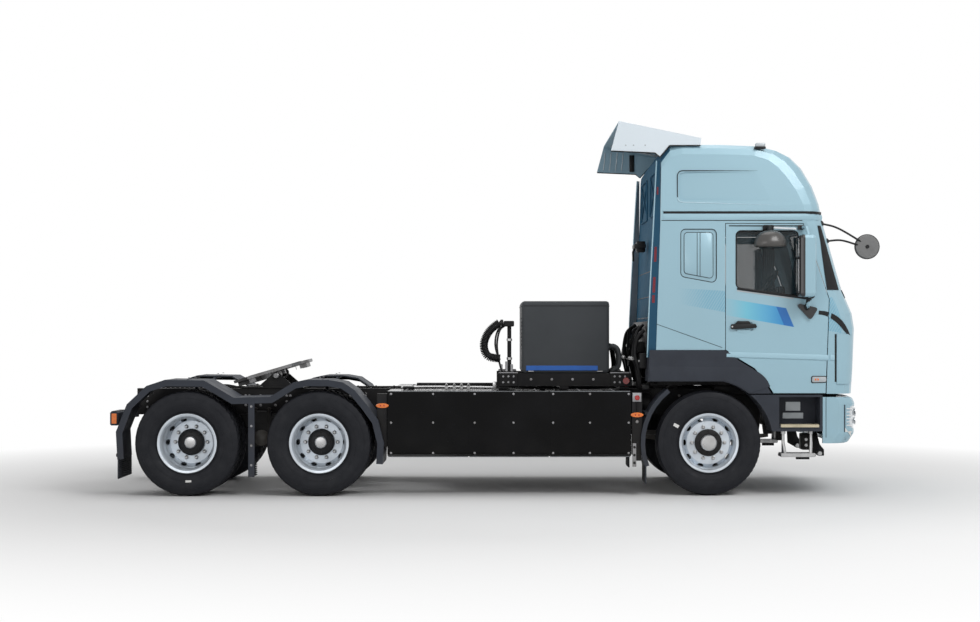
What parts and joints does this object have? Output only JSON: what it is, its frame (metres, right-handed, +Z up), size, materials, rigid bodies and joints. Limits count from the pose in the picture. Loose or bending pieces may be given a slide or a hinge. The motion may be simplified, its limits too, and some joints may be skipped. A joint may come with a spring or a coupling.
{
  "type": "battery-electric tractor unit",
  "caption": "Battery-electric three-axle road tractor with a tilting high-roof sleeper cab, battery boxes along the frame and a tilting fifth wheel over a twin-wheel bogie.",
  "frame": {"origin": "middle of the footprint on the ground, between the tail lamps and the front mirror", "axes": "+X forward, +Y to the vehicle's left, +Z up"},
  "size_m": [7.94, 2.98, 3.85],
  "materials": {
    "body_paint": "light blue metallic",
    "white_paint": "satin white",
    "black_paint": "satin black chassis paint",
    "gloss_black": "gloss black",
    "grey_paint": "satin dark grey",
    "forged_steel": "forged, oiled",
    "cast_plate": "machined top, worn paint",
    "rim_silver": "silver wheel paint",
    "tyre_black": "matte rubber",
    "dark_plastic": "grained dark grey",
    "cabin_plastic": "grained",
    "hose_black": "satin",
    "seat_fabric": "woven",
    "tinted_glass": "tinted",
    "lamp_lens": "clear lens over a bright reflector"
  },
  "bodies": {
    "chassis": {"frame": "black_paint", "tail_lamp_left": "dark_plastic", "tail_lamp_right": "dark_plastic", "front_guard_left": "dark_plastic", "front_guard_right": "dark_plastic", "cab_bridge": "black_paint", "front_axle": "forged_steel", "mid_axle": "black_paint", "rear_axle": "black_paint", "bogie_suspension": "black_paint", "drive_motor": "forged_steel", "battery_left": "gloss_black", "battery_right": "gloss_black", "fender_left": "dark_plastic", "fender_right": "dark_plastic", "fifth_wheel_base": "black_paint", "electronics_box": "grey_paint", "box_cradle": "black_paint", "coil_hose": "hose_black", "front_bumper": "body_paint", "headlamp_left": "lamp_lens", "headlamp_right": "lamp_lens", "front_steps": "dark_plastic"},
    "knuckle_left": {"knuckle_left": "forged_steel"},
    "knuckle_right": {"knuckle_right": "forged_steel"},
    "tie_rod": {"tie_rod": "forged_steel"},
    "wheel_front_left": {"rim_front_left": "rim_silver", "tyre_front_left": "tyre_black"},
    "wheel_front_right": {"rim_front_right": "rim_silver", "tyre_front_right": "tyre_black"},
    "wheel_mid_left": {"rims_mid_left": "rim_silver", "tyre_mid_outer_left": "tyre_black", "tyre_mid_inner_left": "tyre_black"},
    "wheel_mid_right": {"rims_mid_right": "rim_silver", "tyre_mid_outer_right": "tyre_black", "tyre_mid_inner_right": "tyre_black"},
    "wheel_rear_left": {"rims_rear_left": "rim_silver", "tyre_rear_outer_left": "tyre_black", "tyre_rear_inner_left": "tyre_black"},
    "wheel_rear_right": {"rims_rear_right": "rim_silver", "tyre_rear_outer_right": "tyre_black", "tyre_rear_inner_right": "tyre_black"},
    "fifth_wheel": {"fifth_wheel_plate": "cast_plate"},
    "cab": {"cab_shell": "body_paint", "cab_floor": "dark_plastic", "cab_roof": "body_paint", "roof_deflector": "white_paint", "windscreen": "tinted_glass", "dashboard": "cabin_plastic", "seat_left": "seat_fabric", "seat_right": "seat_fabric", "bunk": "seat_fabric", "front_mirror": "cabin_plastic"},
    "door_left": {"door_left": "body_paint", "glass_left": "tinted_glass", "mirror_left": "body_paint"},
    "door_right": {"door_right": "body_paint", "glass_right": "tinted_glass", "mirror_right": "body_paint", "kerb_mirror": "cabin_plastic"}
  },
  "joints": [
    {"name": "steer_left", "type": "hinge", "parent": "chassis", "child": "knuckle_left", "pos_m": [2.175, 0.87, 0.54], "axis": [0, 0, 1], "range_deg": [-38, 38]},
    {"name": "steer_right", "type": "hinge", "parent": "chassis", "child": "knuckle_right", "pos_m": [2.175, -0.87, 0.54], "axis": [0, 0, 1], "range_deg": [-38, 38]},
    {"name": "tie_rod_end", "type": "hinge", "parent": "knuckle_left", "child": "tie_rod", "pos_m": [1.975, 0.87, 0.375], "axis": [0, 0, 1], "range_deg": [-38, 38]},
    {"name": "spin_front_left", "type": "hinge", "parent": "knuckle_left", "child": "wheel_front_left", "pos_m": [2.175, 1.02, 0.54], "axis": [0, 1, 0], "continuous": true},
    {"name": "spin_front_right", "type": "hinge", "parent": "knuckle_right", "child": "wheel_front_right", "pos_m": [2.175, -1.02, 0.54], "axis": [0, 1, 0], "continuous": true},
    {"name": "spin_mid_left", "type": "hinge", "parent": "chassis", "child": "wheel_mid_left", "pos_m": [-1.825, 0.93, 0.54], "axis": [0, 1, 0], "continuous": true},
    {"name": "spin_mid_right", "type": "hinge", "parent": "chassis", "child": "wheel_mid_right", "pos_m": [-1.825, -0.93, 0.54], "axis": [0, 1, 0], "continuous": true},
    {"name": "spin_rear_left", "type": "hinge", "parent": "chassis", "child": "wheel_rear_left", "pos_m": [-3.175, 0.93, 0.54], "axis": [0, 1, 0], "continuous": true},
    {"name": "spin_rear_right", "type": "hinge", "parent": "chassis", "child": "wheel_rear_right", "pos_m": [-3.175, -0.93, 0.54], "axis": [0, 1, 0], "continuous": true},
    {"name": "coupling_tilt", "type": "hinge", "parent": "chassis", "child": "fifth_wheel", "pos_m": [-2.37, 0, 1.215], "axis": [0, 1, 0], "range_deg": [0, 28]},
    {"name": "cab_tilt", "type": "hinge", "parent": "chassis", "child": "cab", "pos_m": [3.58, 0, 0.86], "axis": [0, 1, 0], "range_deg": [0, 45]},
    {"name": "door_left_hinge", "type": "hinge", "parent": "cab", "child": "door_left", "pos_m": [3.435, 1.192, 1.9], "axis": [0, 0, -1], "range_deg": [0, 70]},
    {"name": "door_right_hinge", "type": "hinge", "parent": "cab", "child": "door_right", "pos_m": [3.435, -1.192, 1.9], "axis": [0, 0, 1], "range_deg": [0, 70]}
  ],
  "couplings": [
    {"joint": "steer_right", "follows": "steer_left", "ratio": 1},
    {"joint": "tie_rod_end", "follows": "steer_left", "ratio": -1}
  ]
}
